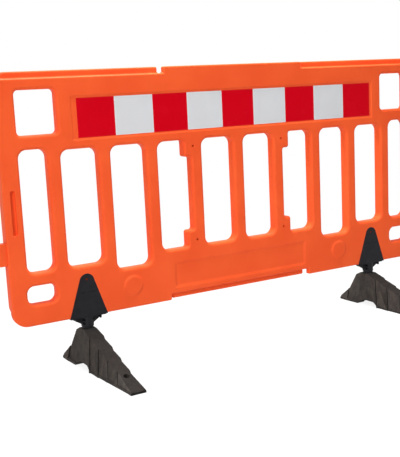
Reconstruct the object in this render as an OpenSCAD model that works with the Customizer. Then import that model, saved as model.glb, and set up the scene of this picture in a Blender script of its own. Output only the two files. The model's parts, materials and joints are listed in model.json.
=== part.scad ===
// Pedestrian barrier panel for road works: a hollow moulded panel with a red and white
// strip on each face, held by two slide-on brackets, each over a foot that swivels.
// Sizes in mm, +Z up, +X along the panel, the front faces -Y.
// The origin is on the ground, in the middle of the ground that the barrier covers.

/* [Panel] */
// Thickness of the panel
panel_t = 48; // [42:0.5:60]
// Wall of the moulded shell
wall = 2.6; // [2:0.1:3.2]
// Bevel round the slots and openings, on both faces
bevel = 7; // [3:0.5:8.5]
// Radius of the two lower corners
low_corner_r = 55; // [20:1:70]
// Radius of the two upper corners
top_corner_r = 20; // [5:1:40]
// Solid height from the full-thickness body's lower ledge to the middle slots
low_rail_h = 172; // [150:0.5:220]
// Height from the middle slots to the strip's recess
strip_rail_h = 35; // [20:0.5:60]
// Height from the strip's recess to the upper ledge
top_rail_h = 72; // [50:0.5:120]

/* [Slots] */
// Clear width of each regular slot
slot_w = 142; // [110:0.5:170]
// Clear height of the four middle slots
slot_h = 415.5; // [300:0.5:520]
// Width of the bar between two slots
bar_w = 49.3; // [40:0.1:70]
// Clear width of the narrow slot at each end
end_slot_w = 104; // [80:0.5:140]
// Width of the upright beyond each end slot
end_post_w = 67.5; // [60:0.5:90]
// How much higher the end slots reach
end_rise = 10; // [0:0.5:20]
// Corner radius of the slots
slot_r = 30; // [12:1:38]
// How much lower the two outer slots on each side reach
outer_drop = 8; // [0:0.5:20]
// How much lower the third slot from each end reaches
long_drop = 44; // [10:0.5:60]

/* [Corner windows and hand holes] */
// Width of the square window in each upper corner
window_w = 148; // [100:1:170]
// Height of the square window
window_h = 155; // [100:1:170]
// Corner radius of the window
window_r = 16; // [5:1:40]
// Width of the upright beyond the window
window_post_w = 69.5; // [50:0.5:90]
// Height from the window to the upper ledge
window_rail_h = 39; // [25:1:60]
// Width of the hand hole in each lower corner
hand_w = 109; // [90:1:130]
// Height of the hand hole
hand_h = 66; // [55:1:80]
// Corner radius of the hand hole
hand_r = 26; // [10:1:27]
// Width of the upright beyond the hand hole
hand_post_w = 60.5; // [50:0.5:80]
// Height of the hand hole's middle above the panel's lowest edge
hand_z = 109; // [90:1:115]
// Width of the narrow stiffening groove near each end, on the front
groove_w = 18; // [12:1:22]
// Height of the groove
groove_h = 157; // [100:1:220]
// Depth of the groove
groove_d = 12; // [8:1:36]
// Distance of the groove's middle from the panel's end
groove_x = 34.5; // [28:0.5:40]
// Height of the groove's middle above the panel's lowest edge
groove_z = 409; // [360:1:450]

/* [Stacking tongues] */
// Height of the tongues above the upper ledge and below the lower ledge
tongue_h = 24.5; // [15:0.5:35]
// Half the length of the middle tongues
tongue_half = 317; // [250:1:340]
// Gap between one tongue and the next
tongue_gap = 14; // [8:1:25]
// Distance of the upper end tongues from the panel's ends
tongue_end = 32; // [22:1:60]
// Radius of the upper end tongues' outer corners
tongue_r = 15; // [8:1:20]

/* [Sign lugs, bosses and name field] */
// How far each bolting lug juts into its slot
lug_reach = 30; // [20:1:45]
// Height of each lug
lug_h = 65; // [55:1:90]
// Corner radius of the lugs
lug_r = 10; // [10:0.5:14]
// Diameter of the bolt hole at each lug
lug_hole_d = 9; // [6:0.5:12]
// Distance of the bolt hole from the slot's edge, into the bar
lug_hole_x = 9; // [7:0.5:16]
// Distance of the bolt hole from the slot's end
lug_hole_z = 26; // [20:0.5:34]
// Diameter of the round raised boss at its crown
boss_d = 69; // [50:1:90]
// Height of the boss above the panel's face
boss_h = 5; // [3:0.5:8]
// Distance of each boss from the panel's middle
boss_x = 493; // [470:1:520]
// Height of the boss's middle above the panel's lowest edge
boss_z = 85; // [75:1:92]
// Length of the sunk plain field's floor in the middle
field_w = 608; // [400:1:640]
// Height of the sunk plain field's floor
field_h = 82; // [50:1:96]
// Depth of the sunk plain field
field_d = 4; // [2:0.5:7]
// Width of the field's sloping sides
field_slope = 11; // [4:0.5:14]
// Height of the field's middle above the panel's lowest edge
field_z = 96; // [90:0.5:102]

/* [Red and white strip] */
// Height of the strip
strip_h = 140; // [100:1:170]
// Length of each red block
red_w = 146; // [120:0.5:155]
// Length of each white block
white_w = 155; // [120:0.5:165]
// Thickness of the sheeting
sheet_t = 0.8; // [0.4:0.1:1.5]
// Depth of the recess that the strip lies in
strip_d = 3.2; // [1.6:0.1:5]
// Margin above and below the strip on the recess's floor
strip_margin = 3; // [1:0.5:6]
// Margin at each end of the strip on the recess's floor
strip_side = 13; // [8:0.5:20]
// Width of the recess's sloping sides
strip_slope = 6; // [3:0.5:10]
// How far the strip is laid to the right of the recess's middle
strip_shift = 5; // [0:0.5:7]

/* [Link hook and loop] */
// Height of the hook's underside above the panel's lowest edge
hook_z = 227; // [200:1:260]
// Height of the hook's arm
hook_h = 79; // [50:1:100]
// Thickness of the hook's arm
hook_t = 28; // [20:1:36]
// Gap between the panel's end and the hook's peg
hook_gap = 39; // [28:1:50]
// Diameter of the hook's peg
peg_d = 26; // [20:1:34]
// Length of the peg below the hook's arm
peg_l = 150; // [90:1:180]
// Bevel at the peg's tip
peg_bevel = 5; // [2:0.5:8]
// Clearance of the peg in the loop, all round
loop_clear = 2; // [1:0.5:4]
// Wall of the loop
loop_wall = 8; // [6:0.5:12]
// Height of the loop
loop_h = 78; // [50:1:95]
// Height left between the loop and a hook's arm above it
loop_drop = 11; // [4:1:20]

/* [Foot brackets] */
// Distance of each bracket and foot from the panel's middle
bracket_x = 678; // [640:1:700]
// Width of the bracket at the panel's lowest edge
bracket_w = 148; // [120:1:160]
// Height of the bracket on the panel
bracket_h = 159; // [120:1:165]
// Radius of the bracket's round top
bracket_r = 29; // [20:1:34]
// Thickness of each of the bracket's two plates
plate_t = 6; // [4:0.5:8]
// Clearance of the bracket in its recess
bracket_fit = 0.4; // [0.2:0.1:1]
// Diameter of the hole for the panel's pip in each plate
pip_hole_d = 10; // [8:0.5:12]
// Clearance of the pip in its hole, all round
pip_clear = 0.5; // [0.3:0.1:1]
// Distance of the pip from the bracket's top
pip_z = 21; // [14:0.5:30]
// Length of the two slits in each plate
dash_w = 24; // [15:1:30]
// Gap between the two slits
dash_gap = 16; // [8:1:24]
// Height of the two slits in each plate
dash_h = 5; // [3:0.5:8]
// Height of the slits above the panel's lowest edge
dash_z = 89; // [60:1:100]
// Depth of the slits and of the small dimple
dash_d = 2.5; // [1:0.5:3.5]
// Height of the bracket's neck between the thrust ring and the panel
neck_h = 40.5; // [38:0.5:56]
// Diameter of the neck's round core
neck_d = 47; // [44:1:56]
// Thickness of the yoke plate under the panel
yoke_t = 6; // [4:0.5:8]
// Thickness of the neck's web and ribs
rib_t = 4; // [3:0.5:6]

/* [Feet] */
// Height of the foot
foot_h = 135; // [110:1:160]
// Length of the foot in front of the swivel axis
foot_front = 410; // [340:1:480]
// Length of the foot behind the swivel axis
foot_back = 120; // [90:1:140]
// Width of the foot's middle block at the ground
foot_base_w = 106; // [92:1:120]
// Width of the foot's middle block at its top
foot_top_w = 50; // [46:1:66]
// Width of the foot's broad heel at the ground
heel_w = 124; // [108:1:140]
// Distance of the first side step in front of the axis
step_start = 114; // [100:1:124]
// Distance between the side steps
step_pitch = 65; // [50:0.5:72]
// Depth of each side step
step_in = 6; // [3:0.5:7]
// How far each side step leans back towards the top, per unit of height
step_lean = 0.32; // [0:0.01:0.4]
// Drop of the sloping shoulder behind the foot's level top
shoulder = 13; // [8:0.5:18]
// Height of the thin flange along the ground
flange_h = 9; // [5:0.5:14]
// How far the flange stands out from the sides
flange_out = 4; // [2:0.5:8]
// Height of the arch under the foot
arch_h = 21; // [12:0.5:22]
// Length of the arch in front of the axis
arch_l = 112; // [90:1:130]
// Diameter of the ground pin's hole near the tip
pin_hole_d = 22; // [14:1:26]
// Distance of the ground pin's hole from the axis
pin_hole_y = 320; // [300:1:345]

/* [Swivel] */
// Diameter of the pivot bolt
bolt_d = 16; // [12:1:18]
// Radial running clearance of the foot on the pivot bolt
run_fit = 0.05; // [0.02:0.01:0.1]
// Width across the flats of the bolt's head and of the nut
hex_af = 24; // [22:1:28]
// Height of the bolt's head
head_h = 10; // [7:0.5:11]
// Height of the nut
nut_h = 13; // [10:0.5:14]
// Length of bolt beyond the nut
bolt_end = 6; // [2:0.5:8]
// Diameter of the washer under the foot
washer_d = 34; // [32:1:37]
// Thickness of the washer
washer_t = 3; // [2:0.5:3.5]
// Diameter of the recess for the bolt's head under the foot
head_recess_d = 40; // [39:1:48]
// Depth of the recess for the bolt's head
head_recess_h = 24; // [22.5:0.5:30]
// Diameter of the thrust ring between foot and bracket
ring_d = 42; // [36:1:46]
// Height of the thrust ring
ring_h = 8; // [5:0.5:12]
// Height from the neck's underside to the nut's seat
nut_seat_h = 9; // [7:0.5:10]

/* [Hidden] */
$fn = 48;
eps = 1;

panel_y = (foot_front - foot_back) / 2;
half_t = panel_t / 2;
pitch = slot_w + bar_w;
end_slot_in = 4 * pitch + bar_w / 2;
end_slot_out = end_slot_in + end_slot_w;
half_l = end_slot_out + end_post_w;

neck_z = foot_h + ring_h;
low_z = neck_z + neck_h;
body_z = low_z + tongue_h;
slot_z = body_z + low_rail_h;
slot_top = slot_z + slot_h;
recess_z = slot_top + strip_rail_h;
strip_z = recess_z + strip_margin;
body_top = strip_z + strip_h + strip_margin + top_rail_h;
tongue_top = body_top + tongue_h;
strip_l = 5 * red_w + 4 * white_w;
end_tongue_x = tongue_half + tongue_gap;

peg_x = -half_l - hook_gap - peg_d / 2;
link_reach = hook_gap + peg_d / 2 + max(peg_d, hook_t) / 2;
loop_in = peg_d / 2 + loop_clear;
loop_x = half_l + link_reach - loop_wall - loop_in;
loop_top = low_z + hook_z - loop_drop;

top_c = low_z + bracket_h - bracket_r;
pip_hole_z = low_z + bracket_h - pip_z;
lug_edge = pitch + bar_w / 2;
nut_z = neck_z + nut_seat_h;
hex_r = hex_af / 2 / cos(30);

orange = "#F2622E";
red = "#C8001A";
white = "#E4E4E4";
black = "#2B2A2C";
grey = "#46423E";
steel = "#A9ABAE";

// Puts a piece that is drawn about the panel's middle plane into the shared frame.
module place() {
    translate([0, panel_y, 0]) children();
}

// Makes an outline drawn in X and Z into a slab between two values of Y.
module slab(y0, y1) {
    translate([0, y1, 0]) rotate([90, 0, 0]) linear_extrude(height = y1 - y0) children();
}

// Half of an opening's section: radius against depth, wider at both mouths.
function mouth(a, h, b) = [[0, -h - eps], [a + b, -h - eps], [a + b, -h], [a, b - h],
    [a, h - b], [a + b, h], [a + b, h + eps], [0, h + eps]];

// The whole section, mirrored about its middle.
function mouths(a, h, b) = [[-a - b, -h - eps], [a + b, -h - eps], [a + b, -h], [a, b - h],
    [a, h - b], [a + b, h], [a + b, h + eps], [-a - b, h + eps], [-a - b, h], [-a, h - b],
    [-a, b - h], [-a - b, -h]];

// A through opening with round corners and bevelled mouths. Grown by g, it bounds the cavity.
module opening(x, z0, z1, w, r, b, g) {
    h = half_t - g;
    m = max(0.01, b - (2 - sqrt(2)) * g);
    translate([x, 0, (z0 + z1) / 2]) {
        for (sx = [-1, 1], sz = [-1, 1])
            translate([sx * (w / 2 - r), 0, sz * ((z1 - z0) / 2 - r)])
                rotate([90, 0, 0]) rotate_extrude() polygon(mouth(r + g, h, m));
        translate([0, 0, r - (z1 - z0) / 2])
            linear_extrude(height = z1 - z0 - 2 * r) polygon(mouths(w / 2 + g, h, m));
        translate([r - w / 2, 0, 0])
            rotate([90, 0, 90]) linear_extrude(height = w - 2 * r)
                rotate(90) polygon(mouths((z1 - z0) / 2 + g, h, m));
    }
}

// Half of the section of a round lug corner: radius against depth, narrower at both faces.
function nose(a, h, b) = [[0, -h - eps], [a - b, -h - eps], [a - b, -h], [a, b - h],
    [a, h - b], [a - b, h], [a - b, h + eps], [0, h + eps]];

// The slot with two lugs on its inner side: high beside the lugs, wide between them.
module lug_slot(g) {
    h = half_t - g;
    m = max(0.01, bevel - (2 - sqrt(2)) * g);
    x0 = lug_edge + lug_reach;
    x1 = lug_edge + slot_w;
    mid_z = (slot_z + slot_top) / 2;
    opening((x0 + x1) / 2, slot_z, slot_top, x1 - x0, slot_r, bevel, g);
    opening(x0 + (x1 - x0) / 4, slot_z, slot_top, (x1 - x0) / 2, lug_r, bevel, g);
    opening(lug_edge + (lug_reach + slot_r) / 2, slot_z + lug_h, slot_top - lug_h,
        lug_reach + slot_r, lug_r, bevel, g);
    for (s = [0, 1])
        translate([x0 - lug_r, 0, mid_z]) mirror([0, 0, s])
            translate([0, 0, slot_h / 2 - lug_h + lug_r]) difference() {
                translate([0, -half_t - eps / 2, -lug_r - eps])
                    cube([lug_r + eps, panel_t + eps, lug_r + eps]);
                rotate([90, 0, 0]) rotate_extrude() polygon(nose(lug_r - g, h, m));
            }
}

// Every slot, window, hand hole and groove in the panel.
module openings(g) {
    for (s = [-1, 1]) {
        for (i = [0, 2, 3])
            opening(s * (i + 0.5) * pitch, slot_z - (i == 3 ? outer_drop : i == 2 ? long_drop : 0),
                slot_top, slot_w, slot_r, bevel, g);
        mirror([s > 0 ? 0 : 1, 0, 0]) lug_slot(g);
        opening(s * (end_slot_in + end_slot_out) / 2, slot_z - outer_drop, slot_top + end_rise,
            end_slot_w, slot_r, bevel, g);
        opening(s * (half_l - window_post_w - window_w / 2), body_top - window_rail_h - window_h,
            body_top - window_rail_h, window_w, window_r, bevel, g);
        opening(s * (half_l - hand_post_w - hand_w / 2), low_z + hand_z - hand_h / 2,
            low_z + hand_z + hand_h / 2, hand_w, hand_r, bevel, g);
        slab(-half_t - eps, groove_d + g - half_t)
            groove(s * (half_l - groove_x), low_z + groove_z, g);
    }
}

// Outline of the narrow groove near each end.
module groove(x, z, g) {
    translate([x - groove_w / 2 - g, z - (groove_h - groove_w) / 2])
        square([groove_w + 2 * g, groove_h - groove_w]);
    for (s = [-1, 1])
        translate([x, z + s * (groove_h - groove_w) / 2]) circle(r = groove_w / 2 + g);
}

// Outline of the panel's full-thickness body, with round corners, shrunk by g.
module body_outline(low, g) {
    translate([g - half_l, low + low_corner_r])
        square([2 * (half_l - g), body_top - top_corner_r - low - low_corner_r]);
    translate([low_corner_r - half_l, low + g])
        square([2 * (half_l - low_corner_r), low_corner_r]);
    translate([top_corner_r - half_l, body_top - top_corner_r - eps])
        square([2 * (half_l - top_corner_r), top_corner_r + eps - g]);
    for (s = [-1, 1]) {
        translate([s * (half_l - low_corner_r), low + low_corner_r]) circle(r = low_corner_r - g);
        translate([s * (half_l - top_corner_r), body_top - top_corner_r]) circle(r = top_corner_r - g);
    }
}

// Outline of the front half: it reaches down beside the brackets and up in the middle.
module front_outline() {
    difference() {
        body_outline(low_z, 0);
        translate([-end_tongue_x, low_z - eps]) square([2 * end_tongue_x, tongue_h + eps]);
    }
    translate([-tongue_half, body_top - eps]) square([2 * tongue_half, tongue_h + eps]);
}

// Outline of an upper end tongue with its outer corner rounded, from a root below the ledge, shrunk by g.
module end_tongue(root, g) {
    r = min(tongue_r, tongue_h);
    x = half_l - tongue_end - r;
    translate([end_tongue_x + g, body_top - root]) square([x - end_tongue_x - g, tongue_h + root - g]);
    translate([x - eps, body_top - root]) square([r + eps - g, tongue_h + root - r]);
    translate([x, tongue_top - r]) circle(r = r - g);
}

// Outline of the back half: it reaches up at both ends and down in the middle.
module back_outline() {
    body_outline(body_z, 0);
    translate([-tongue_half, low_z]) square([2 * tongue_half, tongue_h + eps]);
    for (s = [0, 1]) mirror([s, 0, 0]) end_tongue(eps, 0);
}

// Outline of a bracket plate, grown by g and carried on below the panel's lowest edge:
// straight flanks that cut a little way into a round top.
module bracket_outline(g, below) {
    bx = bracket_w / 2 + g;
    r = bracket_r + g;
    n = 0.99 * r;
    hc = top_c - low_z;
    a = atan2(-hc, bx) + acos(n / sqrt(bx * bx + hc * hc));
    tx = n * cos(a);
    tz = hc + n * sin(a);
    k = below * (bx - tx) / tz;
    translate([0, low_z]) {
        polygon([[-bx - k, -below], [bx + k, -below], [tx, tz], [-tx, tz]]);
        translate([0, hc]) circle(r = r);
    }
}

// A sunk area with a level floor and sloping sides, centred at a height z, grown by g.
module tray(z, w, h, d, slope, g) {
    k = slope * (d + g + eps) / d;
    a = w / 2 + g;
    b = h / 2 + g;
    translate([0, -half_t, z]) intersection() {
        linear_extrude(height = 2 * (b + k + eps), center = true)
            polygon([[-a, d + g], [a, d + g], [a + k, -eps], [-a - k, -eps]]);
        rotate([90, 0, 90]) linear_extrude(height = 2 * (a + k + eps), center = true)
            polygon([[d + g, -b], [d + g, b], [-eps, b + k], [-eps, -b - k]]);
    }
}

// The sunk areas on both faces: strip, plain field and bracket seats, grown by g.
module sunk(g) {
    for (s = [0, 1]) mirror([0, s, 0]) {
        tray(strip_z + strip_h / 2, strip_l + 2 * strip_side, strip_h + 2 * strip_margin,
            strip_d, strip_slope, g);
        tray(low_z + field_z, field_w, field_h, field_d, field_slope, g);
        for (x = [-bracket_x, bracket_x])
            slab(-half_t - eps, plate_t + bracket_fit + g - half_t)
                translate([x, 0]) bracket_outline(bracket_fit + g, 2 * eps);
    }
}

// The holes for the four bolts of a sign, grown by g.
module lug_holes(g) {
    for (s = [-1, 1], z = [slot_z + lug_hole_z, slot_top - lug_hole_z])
        translate([s * (lug_edge - lug_hole_x), 0, z])
            rotate([90, 0, 0]) cylinder(d = lug_hole_d + 2 * g, h = panel_t + 2 * eps, center = true);
}

// The round raised bosses on both faces, shrunk by g.
module bosses(g) {
    for (x = [-boss_x, boss_x], s = [0, 1]) mirror([0, s, 0])
        translate([x, g - half_t - boss_h, low_z + boss_z]) rotate([-90, 0, 0]) {
            cylinder(d1 = boss_d - 2 * g, d2 = boss_d + 2 * boss_h - 2 * g, h = boss_h);
            translate([0, 0, boss_h]) cylinder(d = boss_d + 2 * boss_h - 2 * g, h = wall + eps);
        }
}

// The hook at the left end: a flat arm with a peg that points down.
module hook() {
    z0 = low_z + hook_z;
    slab(-hook_t / 2, hook_t / 2)
        translate([peg_x, z0]) square([-half_l - peg_x + wall, hook_h]);
    translate([peg_x, 0, z0]) cylinder(d = hook_t, h = hook_h);
    translate([peg_x, 0, z0 - peg_l + peg_bevel])
        cylinder(d = peg_d, h = peg_l - peg_bevel + eps);
    translate([peg_x, 0, z0 - peg_l])
        cylinder(d1 = peg_d - 2 * peg_bevel, d2 = peg_d, h = peg_bevel);
}

// The loop at the right end that takes the next panel's peg.
module loop() {
    w = loop_in + loop_wall;
    translate([0, 0, loop_top - loop_h]) difference() {
        translate([half_l - wall, -w, 0]) cube([link_reach + wall, 2 * w, loop_h]);
        translate([loop_x - loop_in, -loop_in, -eps])
            cube([2 * loop_in, 2 * loop_in, loop_h + 2 * eps]);
    }
}

// The panel's outer form.
module panel_solid() {
    difference() {
        union() {
            slab(-half_t, 0) front_outline();
            slab(0, half_t) back_outline();
            bosses(0);
        }
        openings(0);
        sunk(0);
        lug_holes(0);
    }
}

// The air inside the panel.
module cavity() {
    difference() {
        union() {
            slab(wall - half_t, half_t - wall) body_outline(body_z, wall);
            slab(wall - half_t, -wall) difference() {
                body_outline(low_z, wall);
                translate([-end_tongue_x - wall, low_z - eps])
                    square([2 * (end_tongue_x + wall), tongue_h + wall + 2 * eps]);
                translate([-half_l, body_z + low_corner_r]) square([2 * half_l, body_top - body_z]);
            }
            slab(wall - half_t, -wall)
                translate([wall - tongue_half, body_top - 2 * wall])
                    square([2 * (tongue_half - wall), tongue_h + wall]);
            slab(wall, half_t - wall) {
                translate([wall - tongue_half, low_z + wall])
                    square([2 * (tongue_half - wall), tongue_h + wall]);
                for (s = [0, 1]) mirror([s, 0, 0]) end_tongue(2 * wall, wall);
            }
            bosses(wall);
        }
        openings(wall);
        sunk(wall);
        lug_holes(wall);
    }
}

// The small pips on the panel that hold the brackets.
module pips() {
    d = plate_t + bracket_fit;
    for (x = [-bracket_x, bracket_x], s = [0, 1]) mirror([0, s, 0])
        translate([x, plate_t / 3 - half_t, pip_hole_z]) rotate([-90, 0, 0])
            cylinder(d = pip_hole_d - 2 * pip_clear, h = d - plate_t / 3 + wall / 2);
}

module panel() {
    color(orange) place() {
        difference() {
            panel_solid();
            cavity();
        }
        pips();
        hook();
        loop();
    }
}

// One block of sheeting in the strip, counted from the left end, on the front or the back.
module block(x, w, back) {
    mirror([0, back, 0]) translate([x - strip_l / 2 + strip_shift, strip_d - half_t - sheet_t, strip_z])
        cube([w, sheet_t, strip_h]);
}

module red_blocks(back) {
    color(red) place() for (i = [0 : 4]) block(i * (red_w + white_w), red_w, back);
}

module white_blocks(back) {
    color(white) place() for (i = [0 : 3]) block(i * (red_w + white_w) + red_w, white_w, back);
}

// Outline of the neck's gusset between its round core and the yoke plate.
module gusset() {
    polygon([[1 - neck_d / 2, neck_z + 2 * rib_t], [neck_d / 2 - 1, neck_z + 2 * rib_t],
        [bracket_w / 2 - rib_t, low_z - yoke_t / 2], [rib_t - bracket_w / 2, low_z - yoke_t / 2]]);
}

// A plate with its pip hole, two slits and a dimple, on the front or the back.
module plate(back) {
    mirror([0, back, 0]) difference() {
        slab(-half_t, plate_t - half_t) bracket_outline(0, 0);
        translate([0, -half_t, pip_hole_z]) rotate([90, 0, 0])
            cylinder(d = pip_hole_d, h = 2 * plate_t + 2 * eps, center = true);
        for (s = [-1, 1])
            translate([s * (dash_w + dash_gap) / 2 - dash_w / 2, -half_t - eps, low_z + dash_z - dash_h / 2])
                cube([dash_w, dash_d + eps, dash_h]);
        translate([dash_gap / 2 + 2, dash_d - half_t, low_z + dash_z - 4 * dash_h]) rotate([90, 0, 0])
            cylinder(d = dash_h, h = dash_d + eps);
    }
}

module bracket(s) {
    pocket_x = hex_af / 2 + bracket_fit + 1.2;
    pocket_h = (neck_h - yoke_t - 4 * rib_t) / 2;
    color(black) place() translate([s * bracket_x, 0, 0]) difference() {
        union() {
            plate(0);
            plate(1);
            // yoke plate, set back below, with a step that fills the ledge behind the panel's front tongue
            translate([-bracket_w / 2, -half_t, low_z - yoke_t / 3]) cube([bracket_w, panel_t, yoke_t / 3]);
            translate([rib_t - bracket_w / 2, plate_t - half_t, low_z - yoke_t])
                cube([bracket_w - 2 * rib_t, panel_t - 2 * plate_t, yoke_t - 1]);
            translate([-bracket_w / 2 + rib_t, bracket_fit, low_z - yoke_t / 2])
                cube([bracket_w - 2 * rib_t, half_t - plate_t, tongue_h + yoke_t / 2 - bracket_fit]);
            // neck: round core, web and ribs
            translate([0, 0, neck_z]) cylinder(d = neck_d, h = neck_h - yoke_t / 2);
            slab(-rib_t, rib_t) gusset();
            intersection() {
                slab(plate_t - half_t, half_t - plate_t) gusset();
                for (k = [-1, 1])
                    translate([k * (neck_d + bracket_w) / 4 - rib_t / 2, -half_t, neck_z])
                        cube([rib_t, panel_t, neck_h]);
            }
        }
        // slot for the nut, open to the back
        translate([-hex_af / 2 - bracket_fit, -hex_r - bracket_fit, nut_z])
            cube([hex_af + 2 * bracket_fit, hex_r + bracket_fit + half_t + eps, nut_h + 2]);
        // two pockets above each other on each side of the core, front and back
        for (back = [0, 1], k = [0, 1], z = [2 * rib_t, 3 * rib_t + pocket_h])
            mirror([k, 0, 0]) mirror([0, back, 0])
                translate([pocket_x, -half_t - eps, neck_z + z])
                    cube([neck_d / 2 - 2 - pocket_x, half_t - rib_t - 1 + eps, pocket_h]);
        // hole for the pivot bolt
        translate([0, 0, neck_z - eps]) cylinder(d = bolt_d + 2 * bracket_fit, h = neck_h - yoke_t + eps);
    }
}

module thrust_ring(s) {
    color(black) place() translate([s * bracket_x, 0, foot_h]) difference() {
        cylinder(d = ring_d, h = ring_h);
        translate([0, 0, -eps]) cylinder(d = bolt_d + 2 * bracket_fit, h = ring_h + 2 * eps);
    }
}

// Side view of the foot: heel, steep back, level top, long slope to the tip.
module foot_profile() {
    t = ring_d / 2 + 1;
    polygon([[foot_back, 0], [foot_back, foot_h / 9], [0.67 * foot_back, 0.37 * foot_h],
        [t + 2 * shoulder, foot_h - shoulder], [t, foot_h], [-t, foot_h],
        [-t - 1.5 * shoulder, foot_h - shoulder / 2], [flange_h - foot_front, flange_h + 3],
        [-foot_front, flange_h], [-foot_front, 0]]);
}

// One length of the foot between two side steps, with leaning sides.
module foot_step(y0, y1, in) {
    intersection() {
        slab(-foot_front, foot_back) polygon([[in - foot_base_w / 2, 0], [foot_base_w / 2 - in, 0],
            [foot_top_w / 2 - in, foot_h], [in - foot_top_w / 2, foot_h]]);
        rotate([90, 0, 90]) linear_extrude(height = 2 * foot_base_w, center = true)
            polygon([[y0, 0], [y1, 0], [y1 + step_lean * foot_h, foot_h], [y0 + step_lean * foot_h, foot_h]]);
    }
}

// Outline of the thin flange along the ground.
module flange_outline() {
    b = foot_base_w / 2 + flange_out;
    tip = foot_base_w / 2 - 4 * step_in - 2;
    polygon([[-heel_w / 2, foot_back], [heel_w / 2, foot_back], [heel_w / 2, 0.65 * foot_back], [b, 0],
        [tip, -foot_front], [-tip, -foot_front], [-b, 0], [-heel_w / 2, 0.65 * foot_back]]);
}

// Side view of the arch under the foot.
module arch_profile() {
    polygon([[arch_h / 3, -eps], [arch_h / 3, 0], [-arch_h / 2, 0.8 * arch_h], [-1.4 * arch_h, arch_h],
        [1.2 * arch_h - arch_l, arch_h], [arch_h / 4 - arch_l, arch_h / 2], [-arch_l, 0], [-arch_l, -eps]]);
}

module foot(s) {
    color(grey) place() translate([s * bracket_x, 0, 0]) difference() {
        union() {
            intersection() {
                rotate([90, 0, 90]) linear_extrude(height = 2 * foot_base_w, center = true) foot_profile();
                union() {
                    slab(0.65 * foot_back, foot_back) polygon([[-heel_w / 2, 0], [heel_w / 2, 0],
                        [foot_top_w / 2, foot_h], [-foot_top_w / 2, foot_h]]);
                    foot_step(-step_start, foot_back, 0);
                    for (i = [0 : 2])
                        foot_step(-step_start - (i + 1) * step_pitch, -step_start - i * step_pitch,
                            (i + 1) * step_in);
                    foot_step(-2 * foot_front, -step_start - 3 * step_pitch, 4 * step_in);
                }
            }
            linear_extrude(height = flange_h) flange_outline();
        }
        rotate([90, 0, 90]) linear_extrude(height = 2 * foot_base_w, center = true) arch_profile();
        translate([0, 0, -eps]) cylinder(d = head_recess_d, h = head_recess_h + eps);
        cylinder(d = bolt_d + 2 * run_fit, h = foot_h + eps);
        translate([0, -pin_hole_y, -eps]) cylinder(d = pin_hole_d, h = foot_h);
    }
}

module foot_washer(s) {
    color(steel) place() translate([s * bracket_x, 0, head_recess_h - washer_t]) difference() {
        cylinder(d = washer_d, h = washer_t);
        translate([0, 0, -eps]) cylinder(d = bolt_d + 2 * bracket_fit, h = washer_t + 2 * eps);
    }
}

module pivot_bolt(s) {
    z = head_recess_h - washer_t;
    color(steel) place() translate([s * bracket_x, 0, 0]) {
        translate([0, 0, z - head_h]) rotate(30) cylinder(r = hex_r, h = head_h, $fn = 6);
        translate([0, 0, z - head_h / 2]) cylinder(d = bolt_d, h = nut_z + nut_h + bolt_end - z + head_h / 2);
    }
}

module pivot_nut(s) {
    color(steel) place() translate([s * bracket_x, 0, nut_z]) difference() {
        rotate(30) cylinder(r = hex_r, h = nut_h, $fn = 6);
        translate([0, 0, -eps]) cylinder(d = bolt_d + 2 * run_fit, h = nut_h + 2 * eps);
    }
}

panel();
red_blocks(0);  // front_red_blocks
white_blocks(0);  // front_white_blocks
red_blocks(1);  // back_red_blocks
white_blocks(1);  // back_white_blocks
bracket(-1);  // left_bracket
bracket(1);  // right_bracket
thrust_ring(-1);  // left_thrust_ring
thrust_ring(1);  // right_thrust_ring
foot(-1);  // left_foot
foot(1);  // right_foot
pivot_bolt(-1);  // left_pivot_bolt
pivot_bolt(1);  // right_pivot_bolt
pivot_nut(-1);  // left_pivot_nut
pivot_nut(1);  // right_pivot_nut
foot_washer(-1);  // left_foot_washer
foot_washer(1);  // right_foot_washer
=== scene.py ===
"""Pedestrian barrier panel: orange moulding, red and white strip, black brackets, stepped swivel feet."""
import json
import math

import bmesh
import bpy
from mathutils import Matrix, Vector

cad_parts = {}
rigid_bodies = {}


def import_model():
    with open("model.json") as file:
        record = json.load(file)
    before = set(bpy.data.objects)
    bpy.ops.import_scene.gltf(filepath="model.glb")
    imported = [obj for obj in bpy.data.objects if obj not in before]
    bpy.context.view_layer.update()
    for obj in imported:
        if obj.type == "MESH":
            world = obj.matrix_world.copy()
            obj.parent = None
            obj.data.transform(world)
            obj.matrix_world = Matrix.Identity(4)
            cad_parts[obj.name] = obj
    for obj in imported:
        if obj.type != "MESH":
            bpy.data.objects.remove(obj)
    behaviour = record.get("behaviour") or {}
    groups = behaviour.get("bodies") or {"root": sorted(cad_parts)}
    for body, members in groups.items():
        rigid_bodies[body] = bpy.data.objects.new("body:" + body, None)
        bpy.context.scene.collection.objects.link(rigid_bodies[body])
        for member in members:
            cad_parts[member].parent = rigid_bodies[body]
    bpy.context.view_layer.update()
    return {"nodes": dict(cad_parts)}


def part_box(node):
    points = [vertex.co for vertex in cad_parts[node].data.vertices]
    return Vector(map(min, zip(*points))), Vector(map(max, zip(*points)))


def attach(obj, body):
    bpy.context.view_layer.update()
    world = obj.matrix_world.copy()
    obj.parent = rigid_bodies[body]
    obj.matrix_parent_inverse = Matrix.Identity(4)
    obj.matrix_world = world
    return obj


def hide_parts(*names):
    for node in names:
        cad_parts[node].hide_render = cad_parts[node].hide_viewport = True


for leftover in list(bpy.data.objects):
    bpy.data.objects.remove(leftover)
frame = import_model()

# Panel
# One hollow shell of orange high density polyethylene, blow moulded in two mould halves that meet
# at mid thickness. The mould leaves every edge round, a satin skin and a fine seam where it parts.
MM = 0.001
ORANGE = "#F56030"
ORANGE_DEEP = "#F0592C"
# The pale orange is a painted highlight on the rounds.
ORANGE_EDGE_HIGHLIGHT = "#FF8B58"
# The near black red is painted shade on the pip down in each bracket's snap hole.
ORANGE_PIP_SHADE = "#3A0D06"
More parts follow.
